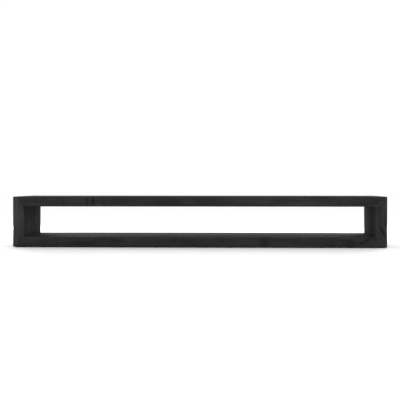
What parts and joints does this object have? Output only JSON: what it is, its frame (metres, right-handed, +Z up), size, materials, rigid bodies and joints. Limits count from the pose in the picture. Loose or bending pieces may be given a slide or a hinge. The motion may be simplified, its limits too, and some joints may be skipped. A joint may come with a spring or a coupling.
{
  "type": "linear electric fireplace",
  "caption": "Long low see-through electric fireplace in a black timber box frame, with a steam-flame slot below and a fan heater above.",
  "frame": {"origin": "middle of the footprint, on the floor under the levelling feet", "axes": "+X along the width to the right as seen from the front, +Y from front to back, +Z up"},
  "size_m": [1.83, 0.35, 0.25],
  "materials": {
    "stained_timber": "brushed pine, black stain, satin",
    "raw_pine": "sawn",
    "black_metal": "fine satin powder coat",
    "zinc_steel": "zinc plated",
    "aluminium_case": "mill finish",
    "button_metal": "dark satin anodised",
    "brass": "bright",
    "heater_fins": "fine pressed fins on ceramic stones",
    "circuit_board": "solder mask",
    "black_plastic": "moulded",
    "gloss_plastic": "polished",
    "foot_plastic": "nylon",
    "cable_sleeve": "braided sleeve",
    "white_plastic": "moulded",
    "wick_felt": "pressed cotton",
    "amber_plastic": "frosted amber",
    "smoke_plastic": "clear smoke-tinted plastic"
  },
  "bodies": {
    "frame": {"front_lipping_top": "stained_timber", "front_lipping_bottom": "stained_timber", "front_lipping_left": "stained_timber", "front_lipping_right": "stained_timber", "rear_lipping_top": "stained_timber", "rear_lipping_bottom": "stained_timber", "rear_lipping_left": "stained_timber", "rear_lipping_right": "stained_timber", "top_panel": "stained_timber", "base_panel": "stained_timber", "left_outer_panel": "stained_timber", "right_outer_panel": "stained_timber", "left_inner_panel": "stained_timber", "right_inner_panel": "stained_timber", "soffits": "stained_timber", "deck_front": "stained_timber", "deck_rear": "stained_timber", "corner_blocks": "raw_pine", "spacer_ribs": "raw_pine", "mitre_dowels": "raw_pine", "heater_cover": "black_metal", "blower_housing": "zinc_steel", "blower_motor": "zinc_steel", "shaft_bushes": "brass", "heating_elements": "heater_fins", "thermal_cutout": "white_plastic", "slot_trims": "black_metal", "mist_tray": "black_plastic", "atomisers": "zinc_steel", "wicks": "wick_felt", "led_strips": "circuit_board", "leds": "white_plastic", "led_diffusers": "amber_plastic", "mist_fan_frames": "black_plastic", "tank_runners": "black_plastic", "service_panel": "black_metal", "mains_inlet": "black_plastic", "inlet_pins": "brass", "power_supply": "aluminium_case", "wiring_loom": "cable_sleeve", "control_bezel": "gloss_plastic", "control_board": "circuit_board", "insert_nuts": "brass", "cover_screws": "zinc_steel"},
    "blower": {"blower_shaft": "zinc_steel", "blower_wheels": "black_plastic"},
    "mist_fan_left": {"mist_fan_rotor_left": "black_plastic"},
    "mist_fan_right": {"mist_fan_rotor_right": "black_plastic"},
    "tank": {"water_tank": "smoke_plastic", "tank_lid": "smoke_plastic", "tank_front": "stained_timber"},
    "cap": {"filler_cap": "black_plastic"},
    "rocker": {"power_rocker": "gloss_plastic"},
    "power_button": {"button_power": "button_metal"},
    "flame_button": {"button_flame": "button_metal"},
    "heat_button": {"button_heat": "button_metal"},
    "front_left_foot": {"foot_front_left": "foot_plastic"},
    "front_right_foot": {"foot_front_right": "foot_plastic"},
    "rear_left_foot": {"foot_rear_left": "foot_plastic"},
    "rear_right_foot": {"foot_rear_right": "foot_plastic"}
  },
  "joints": [
    {"name": "blower_spin", "type": "hinge", "parent": "frame", "child": "blower", "pos_m": [0, 0, 0.2255], "axis": [1, 0, 0], "continuous": true},
    {"name": "mist_fan_left_spin", "type": "hinge", "parent": "frame", "child": "mist_fan_left", "pos_m": [-0.849, 0, 0.0355], "axis": [-1, 0, 0], "continuous": true},
    {"name": "mist_fan_right_spin", "type": "hinge", "parent": "frame", "child": "mist_fan_right", "pos_m": [0.849, 0, 0.0355], "axis": [1, 0, 0], "continuous": true},
    {"name": "tank_slide", "type": "slide", "parent": "frame", "child": "tank", "axis": [0, 1, 0], "range_m": [0, 0.115]},
    {"name": "filler_cap_turn", "type": "hinge", "parent": "tank", "child": "cap", "pos_m": [0.23, 0.118, 0.038], "axis": [0, 0, 1], "range_deg": [0, 90]},
    {"name": "power_rocker_tilt", "type": "hinge", "parent": "frame", "child": "rocker", "pos_m": [0.3995, 0.169, 0.0275], "axis": [1, 0, 0], "range_deg": [0, 16]},
    {"name": "power_button_press", "type": "slide", "parent": "frame", "child": "power_button", "axis": [0, 0, 1], "range_m": [0, 0.0015], "stiffness_N_per_m": 800, "springref_m": -0.0015},
    {"name": "flame_button_press", "type": "slide", "parent": "frame", "child": "flame_button", "axis": [0, 0, 1], "range_m": [0, 0.0015], "stiffness_N_per_m": 800, "springref_m": -0.0015},
    {"name": "heat_button_press", "type": "slide", "parent": "frame", "child": "heat_button", "axis": [0, 0, 1], "range_m": [0, 0.0015], "stiffness_N_per_m": 800, "springref_m": -0.0015},
    {"name": "front_left_foot_screw", "type": "slide", "parent": "frame", "child": "front_left_foot", "axis": [0, 0, -1], "range_m": [0, 0.012]},
    {"name": "front_right_foot_screw", "type": "slide", "parent": "frame", "child": "front_right_foot", "axis": [0, 0, -1], "range_m": [0, 0.012]},
    {"name": "rear_left_foot_screw", "type": "slide", "parent": "frame", "child": "rear_left_foot", "axis": [0, 0, -1], "range_m": [0, 0.012]},
    {"name": "rear_right_foot_screw", "type": "slide", "parent": "frame", "child": "rear_right_foot", "axis": [0, 0, -1], "range_m": [0, 0.012]}
  ]
}
